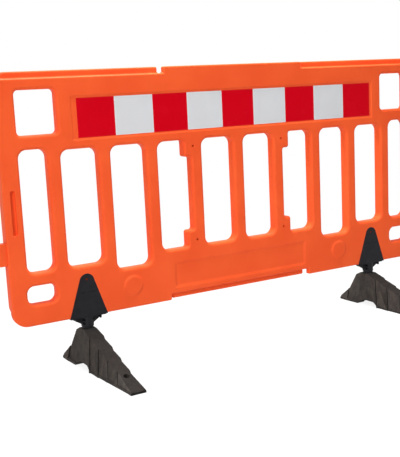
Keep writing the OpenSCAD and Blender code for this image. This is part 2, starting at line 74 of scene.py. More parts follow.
# Where the panel's details lie, from its middle and the ground, and how far round each its edges reach.
PANEL_END = 961.35 * MM
PANEL_MID = (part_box("panel")[0][1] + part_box("panel")[1][1]) / 2
PANEL_PIP = (678 * MM, 321.5 * MM)
PANEL_PIP_REACH = 6 * MM
PANEL_RECESS_HALF = 78 * MM
PANEL_RECESS_TOP = 346 * MM
PANEL_BOSS = (493 * MM, 268.5 * MM)
PANEL_BOSS_REACH = 46 * MM
PANEL_SIGN_HOLES = ((206.95 * MM, 406 * MM), (206.95 * MM, 769.5 * MM))
PANEL_SIGN_HOLE_REACH = 5.5 * MM
PANEL_GROOVE_SIDES = (PANEL_END - 50 * MM, PANEL_END - 20 * MM)
PANEL_GROOVE_ENDS = (505 * MM, 680 * MM)
PANEL_LINK_HALF = 23.5 * MM
PANEL_LINK_ROOT = 8 * MM
PANEL_LINK_SLACK = 1 * MM
PANEL_PEG = 1013.35 * MM
PANEL_PEG_REACH = 14.5 * MM
PANEL_PEG_ROOT = 284.5 * MM
# How far the mould rounds their edges. Bevelled faces are known by how squarely they face the front.
PANEL_EDGE_ROUND = 6 * MM
PANEL_FINE_ROUND = 0.8 * MM
PANEL_PIP_ROUND = 0.6 * MM
PANEL_BOSS_ROUND = 3.2 * MM
PANEL_GROOVE_ROUND = 2.4 * MM
PANEL_LINK_ROUND = 1.8 * MM
PANEL_LINK_ROOT_ROUND = 0.4 * MM
PANEL_BEVEL_SLOPES = (0.6, 0.8)
PANEL_BEVEL_SIDE = 0.8 * MM
PANEL_BEVEL_ROUND = 4.85 * MM
PANEL_BEVEL_CORNER_ROUND = 2.2 * MM
PANEL_SHALLOW_SLOPES = (0.8, 0.985)
PANEL_SHALLOW_ROUND = 1.6 * MM
# Spacing of the patterns in its skin.
PANEL_CLOUD = 160 * MM
PANEL_HIGHLIGHT_BREAKUP = 12 * MM
PANEL_WAVE = 70 * MM
PANEL_PEEL = 3.5 * MM
# Limits for rounding any piece: points that are one, faces that are flat together, edges that show,
# edges that run on into each other, corners that are nearly straight, and how rounds are narrowed to fit.
WELD = 0.002 * MM
FLAT_ANGLE = math.radians(0.4)
EDGE_ANGLE = math.radians(15)
RUN_ANGLE = math.radians(140)
STRAIGHT = 0.2
FIT_TURNS = 30
FIT_SHARE = 0.98
FIT_CUT = 0.9


def linear(hex_code):
    """An sRGB hex colour as linear red, green, blue and alpha."""
    shares = [int(hex_code[i:i + 2], 16) / 255 for i in (1, 3, 5)]
    return [c / 12.92 if c <= 0.04045 else ((c + 0.055) / 1.055) ** 2.4 for c in shares] + [1.0]


def add(tree, kind, inputs=None, **settings):
    """Adds one node. An input that is given a socket is linked to it, and any other gets the value."""
    made = tree.nodes.new(kind)
    for key, value in settings.items():
        setattr(made, key, value)
    for key, value in (inputs or {}).items():
        if isinstance(value, bpy.types.NodeSocket):
            tree.links.new(value, made.inputs[key])
        else:
            made.inputs[key].default_value = value
    return made


def new_finish(name):
    """A new material and its empty node tree."""
    made = bpy.data.materials.new(name)
    made.use_nodes = True
    made.node_tree.nodes.clear()
    return made, made.node_tree


def merged_flats(shape):
    """Joins the triangles of each flat face. The joints that run closest along an edge go first,
    so that those which have to stay stand well off the edges."""
    flat = [edge for edge in shape.edges if edge.calc_face_angle(1.0) < FLAT_ANGLE]
    bmesh.ops.beautify_fill(shape, faces=shape.faces[:], edges=flat)
    flat = [edge for edge in shape.edges if edge.calc_face_angle(1.0) < FLAT_ANGLE]
    stays = {edge for edge in shape.edges if edge.calc_face_angle(1.0) > EDGE_ANGLE}
    squareness = {}
    for edge in flat:
        squareness[edge] = math.pi
        for corner in edge.verts:
            run = edge.other_vert(corner).co - corner.co
            for other in corner.link_edges:
                if other in stays:
                    turn = run.angle(other.other_vert(corner).co - corner.co)
                    squareness[edge] = min(squareness[edge], turn)
    for edge in sorted(flat, key=squareness.get):
        if edge.is_valid and len(edge.link_faces) == 2:
            bmesh.utils.face_join(edge.link_faces[:])
    bmesh.ops.dissolve_limit(shape, angle_limit=FLAT_ANGLE, verts=shape.verts, edges=shape.edges)


def used_up(loop, edge, beside, widths):
    """The length that the rounds at one corner of a face take off an edge that ends there."""
    angle = loop.calc_angle() if loop.is_convex else 2 * math.pi - loop.calc_angle()
    own, other = widths.get(edge, 0.0), widths.get(beside, 0.0)
    if abs(math.sin(angle)) < STRAIGHT:
        return max(own, other) / math.tan(angle / 2)
    return (other + own * math.cos(angle)) / math.sin(angle)


def fit_widths(shape, widths):
    """Narrows the rounds where two of them would meet in the middle of a face's side, and evens
    them out along each run of edges."""
    for _ in range(FIT_TURNS):
        for face in shape.faces:
            for loop in face.loops:
                before, here, after = loop.link_loop_prev.edge, loop.edge, loop.link_loop_next.edge
                used = used_up(loop, here, before, widths)
                used += used_up(loop.link_loop_next, here, after, widths)
                if here.calc_face_angle(0.0) > FLAT_ANGLE and used > FIT_SHARE * here.calc_length():
                    for edge in (before, here, after):
                        if edge in widths:
                            widths[edge] *= FIT_CUT
    left = set(widths)
    while left:
        run = [left.pop()]
        for edge in run:
            for corner in edge.verts:
                along = edge.other_vert(corner).co - corner.co
                for other in left.intersection(corner.link_edges):
                    if along.angle(other.other_vert(corner).co - corner.co) > RUN_ANGLE:
                        left.remove(other)
                        run.append(other)
        narrowest = min(widths[edge] for edge in run)
        for edge in run:
            widths[edge] = narrowest


def softened(node, body, finish, edge_round, steps=3, prepare=None):
    """A copy of a CAD node that takes its place, with its edges rounded as mould or press leaves them."""
    shape = bmesh.new()
    shape.from_mesh(frame["nodes"][node].data)
    bmesh.ops.remove_doubles(shape, verts=shape.verts, dist=WELD)
    if prepare:
        prepare(shape)
    merged_flats(shape)
    weight = shape.edges.layers.float.new("bevel_weight_edge")
    widths = {}
    for edge in shape.edges:
        if edge.calc_face_angle(0.0) > EDGE_ANGLE:
            widths[edge] = edge_round(edge) if callable(edge_round) else edge_round
    fit_widths(shape, widths)
    widest = max(widths.values())
    for edge, width in widths.items():
        edge[weight] = width / widest
    for face in shape.faces:
        face.smooth = True
    mesh = bpy.data.meshes.new(node)
    shape.to_mesh(mesh)
    shape.free()
    mesh.materials.append(finish)
    mesh.materials.append(finish)
    piece = bpy.data.objects.new(node + "_piece", mesh)
    bpy.context.scene.collection.objects.link(piece)
    bevel = piece.modifiers.new("edge_round", "BEVEL")
    bevel.limit_method = "WEIGHT"
    bevel.width = widest
    bevel.segments = steps
    bevel.use_clamp_overlap = False
    bevel.loop_slide = False
    bevel.material = 1
    piece.modifiers.new("flat_faces", "WEIGHTED_NORMAL")
    made = bpy.data.meshes.new_from_object(piece.evaluated_get(bpy.context.evaluated_depsgraph_get()))
    rounded = made.attributes.new("rounded", "FLOAT", "FACE")
    rounded.data.foreach_set("value", [float(face.material_index) for face in made.polygons])
    made.polygons.foreach_set("material_index", [0] * len(made.polygons))
    made.materials.pop()
    piece.modifiers.clear()
    piece.data = made
    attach(piece, body)
    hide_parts(node)
    return piece


def panel_ready(shape):
    """Takes away the shell's inner wall, which nothing shows, and closes hook and loop as lumps of
    their own that reach into the end walls, so that the long edges round off evenly past them."""
    todo = [max(shape.verts, key=lambda v: v.co.z)]
    outside = set(todo)
    while todo:
        for edge in todo.pop().link_edges:
            for vert in edge.verts:
                if vert not in outside:
                    outside.add(vert)
                    todo.append(vert)
    bmesh.ops.delete(shape, geom=[vert for vert in shape.verts if vert not in outside], context="VERTS")
    links = [f for f in shape.faces if max(abs(v.co.x) for v in f.verts) > PANEL_END + 0.1 * MM]
    parted = bmesh.ops.split(shape, geom=links)["geom"]
    roots = [part for part in parted if isinstance(part, bmesh.types.BMEdge) and part.is_boundary]
    ends = [edge for edge in shape.edges if edge.is_boundary and edge not in roots]
    bmesh.ops.holes_fill(shape, edges=ends)
    for part in bmesh.ops.extrude_edge_only(shape, edges=roots)["geom"]:
        if isinstance(part, bmesh.types.BMVert):
            part.co.x -= math.copysign(PANEL_LINK_ROOT, part.co.x)
    bmesh.ops.holes_fill(shape, edges=[edge for edge in shape.edges if edge.is_boundary])
    bmesh.ops.recalc_face_normals(shape, faces=shape.faces)


def panel_round(edge):
    """How far the mould rounds one edge of the panel."""
    middle = (edge.verts[0].co + edge.verts[1].co) / 2
    x, z = abs(middle.x), middle.z
    slopes = [abs(face.normal.y) for face in edge.link_faces]
    if math.dist((x, z), PANEL_PIP) < PANEL_PIP_REACH:
        return PANEL_PIP_ROUND
    if min(math.dist((x, z), hole) for hole in PANEL_SIGN_HOLES) < PANEL_SIGN_HOLE_REACH:
        return PANEL_FINE_ROUND
    if math.dist((x, z), PANEL_BOSS) < PANEL_BOSS_REACH:
        return PANEL_BOSS_ROUND
    if abs(x - PANEL_PIP[0]) < PANEL_RECESS_HALF and z < PANEL_RECESS_TOP:
        return PANEL_FINE_ROUND
    links_from = PANEL_END - PANEL_LINK_ROOT - PANEL_LINK_SLACK
    if x > links_from and abs(middle.y - PANEL_MID) < PANEL_LINK_HALF:
        beside_peg = math.dist((x, middle.y), (PANEL_PEG, PANEL_MID)) < PANEL_PEG_REACH
        at_peg_root = beside_peg and z > PANEL_PEG_ROOT
        at_root = x < PANEL_END + PANEL_LINK_SLACK or at_peg_root
        return PANEL_LINK_ROOT_ROUND if at_root else PANEL_LINK_ROUND
    if any(PANEL_BEVEL_SLOPES[0] < slope < PANEL_BEVEL_SLOPES[1] for slope in slopes):
        return PANEL_BEVEL_ROUND if edge.calc_length() > PANEL_BEVEL_SIDE else PANEL_BEVEL_CORNER_ROUND
    if any(PANEL_SHALLOW_SLOPES[0] < slope < PANEL_SHALLOW_SLOPES[1] for slope in slopes):
        return PANEL_SHALLOW_ROUND
    across_groove = PANEL_GROOVE_SIDES[0] < x < PANEL_GROOVE_SIDES[1]
    if across_groove and PANEL_GROOVE_ENDS[0] < z < PANEL_GROOVE_ENDS[1]:
        return PANEL_GROOVE_ROUND
    return PANEL_EDGE_ROUND


# Blow moulded polyethylene: a strong even orange with a soft sheen, a little cloudy in tint, with gentle
# waves where the wall cooled unevenly. The rounds carry a painted highlight, paler in patches, and each
# pip in a bracket's snap hole carries painted shade. The peel is about 1 mm in the real skin and is drawn
# coarser here so that it shows.
polyethylene, tree = new_finish("blow_moulded_polyethylene_orange")
place = add(tree, "ShaderNodeTexCoord").outputs["Object"]
cloud = add(tree, "ShaderNodeTexNoise", {"Vector": place, "Scale": 1 / PANEL_CLOUD, "Detail": 3.0})
tint = add(tree, "ShaderNodeValToRGB", {"Fac": cloud.outputs["Fac"]})
tint.color_ramp.elements[0].position = 0.35
tint.color_ramp.elements[0].color = linear(ORANGE_DEEP)
tint.color_ramp.elements[1].position = 0.65
tint.color_ramp.elements[1].color = linear(ORANGE)
# Painted highlight: the rounded faces are made paler orange, in patches broken up by noise.
rounds = add(tree, "ShaderNodeAttribute", attribute_name="rounded").outputs["Fac"]
highlight_breakup = add(tree, "ShaderNodeTexNoise", {"Vector": place, "Scale": 1 / PANEL_HIGHLIGHT_BREAKUP, "Detail": 4.0})
highlight_share = add(tree, "ShaderNodeMapRange", {
    "Value": highlight_breakup.outputs["Fac"], "From Min": 0.45, "From Max": 0.75, "To Min": 0.0, "To Max": 0.1})
rounded_edge_share = add(tree, "ShaderNodeMath", {0: rounds, 1: highlight_share.outputs["Result"]}, operation="MULTIPLY")
highlighted_skin = add(tree, "ShaderNodeMixRGB", {
    "Fac": rounded_edge_share.outputs[0], "Color1": tint.outputs["Color"], "Color2": linear(ORANGE_EDGE_HIGHLIGHT)})
# Painted shade: around each pip, which sits down in a bracket's snap hole, the colour turns near black red.
aside = add(tree, "ShaderNodeVectorMath", {0: place}, operation="ABSOLUTE")
off_pip = add(tree, "ShaderNodeVectorMath", {
    0: aside.outputs[0], 1: (PANEL_PIP[0], PANEL_MID, PANEL_PIP[1])}, operation="DISTANCE")
pip_shade = add(tree, "ShaderNodeMapRange", {
    "Value": off_pip.outputs["Value"], "From Min": 24 * MM, "From Max": 26 * MM,
    "To Min": 0.85, "To Max": 0.0})
colour = add(tree, "ShaderNodeMixRGB", {
    "Fac": pip_shade.outputs["Result"], "Color1": highlighted_skin.outputs["Color"], "Color2": linear(ORANGE_PIP_SHADE)})
sheen = add(tree, "ShaderNodeMapRange", {"Value": cloud.outputs["Fac"], "To Min": 0.38, "To Max": 0.5})
depth = add(tree, "ShaderNodeSeparateXYZ", {"Vector": place})
off_seam = add(tree, "ShaderNodeMath", {0: depth.outputs["Y"], 1: PANEL_MID}, operation="SUBTRACT")
beside_seam = add(tree, "ShaderNodeMath", {0: off_seam.outputs[0]}, operation="ABSOLUTE")
seam = add(tree, "ShaderNodeMapRange", {
    "Value": beside_seam.outputs[0], "From Min": 0.3 * MM, "From Max": 0.9 * MM,
    "To Min": 1.0, "To Max": 0.0})
ridge = add(tree, "ShaderNodeBump", {
    "Height": seam.outputs["Result"], "Strength": 0.6, "Distance": 0.4 * MM})
waves = add(tree, "ShaderNodeTexNoise", {"Vector": place, "Scale": 1 / PANEL_WAVE, "Detail": 1.0})
wavy = add(tree, "ShaderNodeBump", {
    "Height": waves.outputs["Fac"], "Strength": 0.12, "Distance": 4 * MM,
    "Normal": ridge.outputs["Normal"]})
peel = add(tree, "ShaderNodeTexNoise", {"Vector": place, "Scale": 1 / PANEL_PEEL, "Detail": 2.0})
peeled = add(tree, "ShaderNodeBump", {
    "Height": peel.outputs["Fac"], "Strength": 0.03, "Distance": 0.3 * MM,
    "Normal": wavy.outputs["Normal"]})
skin = add(tree, "ShaderNodeBsdfPrincipled", {
    "Base Color": colour.outputs["Color"], "Roughness": sheen.outputs["Result"], "IOR": 1.52,
    "Specular IOR Level": 0.06, "Normal": peeled.outputs["Normal"]})
add(tree, "ShaderNodeOutputMaterial", {"Surface": skin.outputs["BSDF"]})
softened("panel", "panel", polyethylene, panel_round, steps=4, prepare=panel_ready)

# Red and white strip
# Nine blocks of prismatic reflective film on a thin backing, five red and four white, stuck end to end
# in the recess on each face. A sealed border runs round each block, a hair lower than its field.
SHEETING_RED = "#CE0016"
SHEETING_RED_BORDER = "#D40A20"
SHEETING_WHITE = "#D3D4D7"
SHEETING_WHITE_BORDER = "#DCDEE0"
SHEETING_BORDER = 4 * MM
SHEETING_CORNER = 1.5 * MM
SHEETING_FIELD_RISE = 0.15 * MM
SHEETING_CELL = 4.5 * MM
SHEETING_SHIMMER = 90 * MM

blocks_tree = bpy.data.node_groups.new("sheeting_blocks", "GeometryNodeTree")
block_input = {}
for label, kind in (("Count", "Int"), ("Pitch", "Float"), ("First", "Vector"), ("Turn", "Float"),
                    ("Width", "Float"), ("Height", "Float"), ("Backing", "Float"), ("Field Rise", "Float"),
                    ("Border", "Float"), ("Corner", "Float"), ("Finish", "Material")):
    socket = blocks_tree.interface.new_socket(label, in_out="INPUT", socket_type="NodeSocket" + kind)
    block_input[label] = socket.identifier
blocks_tree.interface.new_socket("Blocks", in_out="OUTPUT", socket_type="NodeSocketGeometry")
given = add(blocks_tree, "NodeGroupInput").outputs
outline = add(blocks_tree, "GeometryNodeCurvePrimitiveQuadrilateral", {
    "Width": given["Width"], "Height": given["Height"]})
trimmed = add(blocks_tree, "GeometryNodeFilletCurve", {
    "Curve": outline.outputs[0], "Count": 4, "Radius": given["Corner"]}, mode="POLY")
cut = add(blocks_tree, "GeometryNodeFillCurve", {"Curve": trimmed.outputs[0]}, mode="NGONS")
backing = add(blocks_tree, "GeometryNodeExtrudeMesh", {
    "Mesh": cut.outputs[0], "Offset Scale": given["Backing"], "Individual": False})
border = add(blocks_tree, "GeometryNodeExtrudeMesh", {
    "Mesh": backing.outputs["Mesh"], "Selection": backing.outputs["Top"],
    "Offset Scale": 0.0, "Individual": False})
two_borders = add(blocks_tree, "ShaderNodeMath", {0: given["Border"], 1: 2.0}, operation="MULTIPLY")
border_share = add(blocks_tree, "ShaderNodeMath", {
    0: two_borders.outputs[0], 1: given["Width"]}, operation="DIVIDE")
field_share = add(blocks_tree, "ShaderNodeMath", {0: 1.0, 1: border_share.outputs[0]}, operation="SUBTRACT")
drawn_in = add(blocks_tree, "GeometryNodeScaleElements", {
    "Geometry": border.outputs["Mesh"], "Selection": border.outputs["Top"],
    "Scale": field_share.outputs[0]})
field = add(blocks_tree, "GeometryNodeExtrudeMesh", {
    "Mesh": drawn_in.outputs[0], "Selection": border.outputs["Top"],
    "Offset Scale": given["Field Rise"], "Individual": False})
marked = add(blocks_tree, "GeometryNodeStoreNamedAttribute", {
    "Geometry": field.outputs["Mesh"], "Name": "field", "Value": field.outputs["Top"]},
    data_type="FLOAT", domain="FACE")
underside = add(blocks_tree, "GeometryNodeFlipFaces", {"Mesh": cut.outputs[0]})
whole = add(blocks_tree, "GeometryNodeJoinGeometry", {"Geometry": marked.outputs[0]})
blocks_tree.links.new(underside.outputs[0], whole.inputs["Geometry"])
closed = add(blocks_tree, "GeometryNodeMergeByDistance", {
    "Geometry": whole.outputs[0], "Distance": 0.001 * MM})
upright = add(blocks_tree, "ShaderNodeCombineXYZ", {"X": math.pi / 2, "Z": given["Turn"]})
stood = add(blocks_tree, "GeometryNodeTransform", {
    "Geometry": closed.outputs[0], "Rotation": upright.outputs[0]})
along = add(blocks_tree, "ShaderNodeCombineXYZ", {"X": given["Pitch"]})
spots = add(blocks_tree, "GeometryNodeMeshLine", {
    "Count": given["Count"], "Start Location": given["First"], "Offset": along.outputs[0]})
laid = add(blocks_tree, "GeometryNodeInstanceOnPoints", {
    "Points": spots.outputs[0], "Instance": stood.outputs[0]})
real = add(blocks_tree, "GeometryNodeRealizeInstances", {"Geometry": laid.outputs[0]})
dressed = add(blocks_tree, "GeometryNodeSetMaterial", {
    "Geometry": real.outputs[0], "Material": given["Finish"]})
add(blocks_tree, "NodeGroupOutput", {"Blocks": dressed.outputs[0]})


def sheeting(node, count, width, height, pitch, finish):
    """The blocks of one colour on one face, in place of their CAD node."""
    low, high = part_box(node)
    faces_back = node.startswith("back")
    thickness = high[1] - low[1]
    piece = bpy.data.objects.new(node + "_film", bpy.data.meshes.new(node + "_film"))
    bpy.context.scene.collection.objects.link(piece)
    laying = piece.modifiers.new("blocks", "NODES")
    laying.node_group = blocks_tree
    values = {"Count": count, "Pitch": pitch, "Turn": math.pi if faces_back else 0.0,
              "Width": width, "Height": height,
              "First": (low[0] + width / 2, low[1] if faces_back else high[1], (low[2] + high[2]) / 2),
              "Backing": thickness - SHEETING_FIELD_RISE, "Field Rise": SHEETING_FIELD_RISE,
              "Border": SHEETING_BORDER, "Corner": SHEETING_CORNER, "Finish": finish}
    for label, value in values.items():
        laying[block_input[label]] = value
    made = bpy.data.meshes.new_from_object(piece.evaluated_get(bpy.context.evaluated_depsgraph_get()))
    piece.modifiers.clear()
    piece.data = made
    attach(piece, "panel")
    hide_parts(node)


# Prismatic film: clear colour under a smooth face, with a faint lattice of sealed cells and soft
# uneven brightness as the prisms catch the light. The cells are about 3 mm, drawn a little coarser.
films = {}
for name, field_colour, border_colour, slot in (
        ("prismatic_film_red", SHEETING_RED, SHEETING_RED_BORDER, "red_sheeting"),
        ("prismatic_film_white", SHEETING_WHITE, SHEETING_WHITE_BORDER, "white_sheeting")):
    film, tree = new_finish(name)
    films[slot] = film
    place = add(tree, "ShaderNodeTexCoord").outputs["Object"]
    on_edge = add(tree, "ShaderNodeMapping", {"Vector": place, "Rotation": (0.0, math.pi / 4, 0.0)})
    cells = add(tree, "ShaderNodeTexVoronoi", {
        "Vector": on_edge.outputs[0], "Scale": 1 / SHEETING_CELL, "Randomness": 0.0},
        feature="DISTANCE_TO_EDGE")
    seal = add(tree, "ShaderNodeMapRange", {
        "Value": cells.outputs["Distance"], "From Min": 0.03, "From Max": 0.09,
        "To Min": 0.25, "To Max": 0.0})
    shimmer = add(tree, "ShaderNodeTexNoise", {
        "Vector": place, "Scale": 1 / SHEETING_SHIMMER, "Detail": 2.0})
    lift = add(tree, "ShaderNodeMapRange", {
        "Value": shimmer.outputs["Fac"], "From Min": 0.3, "From Max": 0.7, "To Min": 0.0, "To Max": 0.3})
    lighter = add(tree, "ShaderNodeMath", {
        0: seal.outputs["Result"], 1: lift.outputs["Result"]}, operation="ADD")
    face = add(tree, "ShaderNodeMixRGB", {
        "Fac": lighter.outputs[0], "Color1": linear(field_colour), "Color2": linear(border_colour)})
    in_field = add(tree, "ShaderNodeAttribute", attribute_name="field").outputs["Fac"]
    colour = add(tree, "ShaderNodeMixRGB", {
        "Fac": in_field, "Color1": linear(border_colour), "Color2": face.outputs["Color"]})
    pressed = add(tree, "ShaderNodeBump", {
        "Height": seal.outputs["Result"], "Strength": 0.15, "Distance": 0.1 * MM})
    gloss = add(tree, "ShaderNodeMapRange", {
        "Value": shimmer.outputs["Fac"], "To Min": 0.2, "To Max": 0.32})
    surface = add(tree, "ShaderNodeBsdfPrincipled", {
        "Base Color": colour.outputs["Color"], "Roughness": gloss.outputs["Result"], "IOR": 1.49,
        "Specular IOR Level": 0.04, "Normal": pressed.outputs["Normal"]})
    add(tree, "ShaderNodeOutputMaterial", {"Surface": surface.outputs["BSDF"]})

for side in ("front", "back"):
    red_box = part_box(side + "_red_blocks")
    white_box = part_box(side + "_white_blocks")
    red_width = (red_box[1][0] - red_box[0][0] - white_box[1][0] + white_box[0][0]) / 2
    white_width = (white_box[1][0] - white_box[0][0] - 3 * red_width) / 4
    strip_height = red_box[1][2] - red_box[0][2]
    pitch = red_width + white_width
    for colour, count, width in (("red", 5, red_width), ("white", 4, white_width)):
        slot = colour + "_sheeting"
        sheeting(side + "_" + colour + "_blocks", count, width, strip_height, pitch, films[slot])

# Foot brackets
# Each is one moulding of black polypropylene: two plates that slide up into the panel's recesses and
# snap over its pips, joined under it by a yoke and a round ribbed neck that the foot turns on.
BLACK = "#131216"
BLACK_DUST_WEAR_AND_SHEEN = "#2E2C31"
BRACKET_ROUND = 0.5 * MM
BRACKET_GRAIN = 1.6 * MM
BRACKET_DUST = 40 * MM

# Moulded polypropylene: near black and matt, with a fine spark-eroded grain, greyer in dusty patches and
# on the rounds, which are partly wear and partly painted sheen.
# The real grain is about 0.3 mm and is drawn coarser so that it shows.
polypropylene, tree = new_finish("moulded_polypropylene_black")
place = add(tree, "ShaderNodeTexCoord").outputs["Object"]
dust = add(tree, "ShaderNodeTexNoise", {
    "Vector": place, "Scale": 1 / BRACKET_DUST, "Detail": 5.0, "Roughness": 0.6})
dusty = add(tree, "ShaderNodeMapRange", {
    "Value": dust.outputs["Fac"], "From Min": 0.4, "From Max": 0.8, "To Min": 0.0, "To Max": 0.35})
rounds = add(tree, "ShaderNodeAttribute", attribute_name="rounded").outputs["Fac"]
# The rounds are made greyer as wear and as painted sheen, on top of the dusty patches.
edges = add(tree, "ShaderNodeMath", {
    0: rounds, 1: 0.5, 2: dusty.outputs["Result"]}, operation="MULTIPLY_ADD")
colour = add(tree, "ShaderNodeMixRGB", {
    "Fac": edges.outputs[0], "Color1": linear(BLACK), "Color2": linear(BLACK_DUST_WEAR_AND_SHEEN)})
grain = add(tree, "ShaderNodeTexNoise", {"Vector": place, "Scale": 1 / BRACKET_GRAIN, "Detail": 2.0})
grained = add(tree, "ShaderNodeBump", {
    "Height": grain.outputs["Fac"], "Strength": 0.2, "Distance": 0.2 * MM})
matt = add(tree, "ShaderNodeMapRange", {"Value": dust.outputs["Fac"], "To Min": 0.45, "To Max": 0.62})
surface = add(tree, "ShaderNodeBsdfPrincipled", {
    "Base Color": colour.outputs["Color"], "Roughness": matt.outputs["Result"], "IOR": 1.49,
    "Specular IOR Level": 0.2, "Normal": grained.outputs["Normal"]})
add(tree, "ShaderNodeOutputMaterial", {"Surface": surface.outputs["BSDF"]})
for side in ("left", "right"):
    softened(side + "_bracket", "panel", polypropylene, BRACKET_ROUND)

# Swivel bolts
# A steel bolt comes up through each foot, with a washer under its head, and is held by a nut in the
# bracket's neck. All three are zinc plated and clear passivated.
ZINC = "#B4B7BB"
ZINC_SHADE = "#8C8F93"
ZINC_ROUND = 0.6 * MM
ZINC_SPANGLE = 5 * MM

# Zinc plated steel: a soft grey metal shine with cloudy spangle, duller in patches.
zinc, tree = new_finish("zinc_plated_steel")
place = add(tree, "ShaderNodeTexCoord").outputs["Object"]
spangle = add(tree, "ShaderNodeTexNoise", {"Vector": place, "Scale": 1 / ZINC_SPANGLE, "Detail": 4.0})
colour = add(tree, "ShaderNodeMixRGB", {
    "Fac": spangle.outputs["Fac"], "Color1": linear(ZINC_SHADE), "Color2": linear(ZINC)})
dull = add(tree, "ShaderNodeMapRange", {"Value": spangle.outputs["Fac"], "To Min": 0.25, "To Max": 0.45})
surface = add(tree, "ShaderNodeBsdfPrincipled", {
    "Base Color": colour.outputs["Color"], "Metallic": 1.0, "Roughness": dull.outputs["Result"]})
add(tree, "ShaderNodeOutputMaterial", {"Surface": surface.outputs["BSDF"]})
for side in ("left", "right"):
    for part in ("_pivot_bolt", "_pivot_nut", "_foot_washer"):
        softened(side + part, "panel", zinc, ZINC_ROUND)

# Thrust rings
# A black plastic ring lies between each foot and its bracket, turns with the foot and takes the weight.
# It is turned from the same polypropylene as the brackets.
RING_ROUND = 1 * MM
for side in ("left", "right"):
    softened(side + "_thrust_ring", side + "_foot", polypropylene, RING_ROUND)

# Feet
# Heavy blocks moulded from recycled rubber and plastic: a broad heel, a long sloping ridge, stepped
# sides, an arch under the middle and a hole for a ground pin. Edges are blunt, and the skin is rough.
COMPOUND = "#3A3633"
COMPOUND_PALE = "#454039"
COMPOUND_DARK = "#2F2B29"
COMPOUND_WORN = "#514B46"
COMPOUND_PAINTED_SHADE = "#0F0E0E"
FOOT_ROUND = 1.6 * MM
FOOT_RIM = 9 * MM
FOOT_RIM_SLACK = 0.5 * MM
FOOT_TIP = -255 * MM
FOOT_MOTTLE = 35 * MM
FOOT_FLECK = 4.5 * MM
FOOT_GRIT = 3 * MM
FOOT_SCUFF = 9 * MM
# Painted shade on the upward faces and on the faces of the steps, and which faces count as each.
FOOT_RIDGE_SHADE = 0.6
FOOT_RIDGE_RISE = 0.5
FOOT_STEP_SHADE = 0.75
FOOT_STEP_LEAN = -0.8


def foot_round(edge):
    """The worn round of a foot's edges. Those of the rim that stands on the ground stay crisp."""
    heights = [corner.co.z for corner in edge.verts]
    above_rim = min(heights) > FOOT_RIM - FOOT_RIM_SLACK and max(heights) > FOOT_RIM + FOOT_RIM_SLACK
    behind_tip = min(corner.co.y for corner in edge.verts) > FOOT_TIP
    return FOOT_ROUND if above_rim and behind_tip else 0.0


# Recycled compound: a dull warm grey, mottled where the melt was uneven, with flecks of old plastic,
# small pits and scuffed edges. Painted shade darkens the upward faces of the ridge and top and the faces
# of the steps.
# The flecks are drawn coarser than the real 2 to 3 mm.
compound, tree = new_finish("recycled_rubber_compound")
place = add(tree, "ShaderNodeTexCoord").outputs["Object"]
mottle = add(tree, "ShaderNodeTexNoise", {
    "Vector": place, "Scale": 1 / FOOT_MOTTLE, "Detail": 5.0, "Roughness": 0.65})
melt = add(tree, "ShaderNodeValToRGB", {"Fac": mottle.outputs["Fac"]})
melt.color_ramp.elements[0].position = 0.32
melt.color_ramp.elements[0].color = linear(COMPOUND_DARK)
melt.color_ramp.elements[1].position = 0.68
melt.color_ramp.elements[1].color = linear(COMPOUND_PALE)
middle = melt.color_ramp.elements.new(0.5)
middle.color = linear(COMPOUND)
flecks = add(tree, "ShaderNodeTexVoronoi", {"Vector": place, "Scale": 1 / FOOT_FLECK})
fleck_value = add(tree, "ShaderNodeSeparateColor", {"Color": flecks.outputs["Color"]})
fleck_here = add(tree, "ShaderNodeMapRange", {
    "Value": fleck_value.outputs[0], "From Min": 0.8, "From Max": 0.98, "To Min": 0.0, "To Max": 0.3})
flecked = add(tree, "ShaderNodeMixRGB", {
    "Fac": fleck_here.outputs["Result"], "Color1": melt.outputs["Color"], "Color2": linear(COMPOUND_WORN)})
rounds = add(tree, "ShaderNodeAttribute", attribute_name="rounded").outputs["Fac"]
scuffs = add(tree, "ShaderNodeTexNoise", {"Vector": place, "Scale": 1 / FOOT_SCUFF, "Detail": 4.0})
scuffed = add(tree, "ShaderNodeMapRange", {
    "Value": scuffs.outputs["Fac"], "From Min": 0.4, "From Max": 0.7, "To Min": 0.0, "To Max": 0.6})
rounded_edge_share = add(tree, "ShaderNodeMath", {0: rounds, 1: scuffed.outputs["Result"]}, operation="MULTIPLY")
bare = add(tree, "ShaderNodeMixRGB", {
    "Fac": rounded_edge_share.outputs[0], "Color1": flecked.outputs["Color"], "Color2": linear(COMPOUND_WORN)})
# Painted shade: this attribute darkens the upward faces and the faces of the steps towards near black.
shade_share = add(tree, "ShaderNodeAttribute", attribute_name="painted_shade").outputs["Fac"]
colour = add(tree, "ShaderNodeMixRGB", {
    "Fac": shade_share, "Color1": bare.outputs["Color"], "Color2": linear(COMPOUND_PAINTED_SHADE)})
lumps = add(tree, "ShaderNodeBump", {"Height": mottle.outputs["Fac"], "Strength": 0.3, "Distance": 2 * MM})
grit = add(tree, "ShaderNodeTexNoise", {"Vector": place, "Scale": 1 / FOOT_GRIT, "Detail": 3.0})
gritty = add(tree, "ShaderNodeBump", {
    "Height": grit.outputs["Fac"], "Strength": 0.35, "Distance": 0.6 * MM,
    "Normal": lumps.outputs["Normal"]})
surface = add(tree, "ShaderNodeBsdfPrincipled", {
    "Base Color": colour.outputs["Color"], "Roughness": 0.85, "IOR": 1.5, "Specular IOR Level": 0.15,
    "Normal": gritty.outputs["Normal"]})
add(tree, "ShaderNodeOutputMaterial", {"Surface": surface.outputs["BSDF"]})
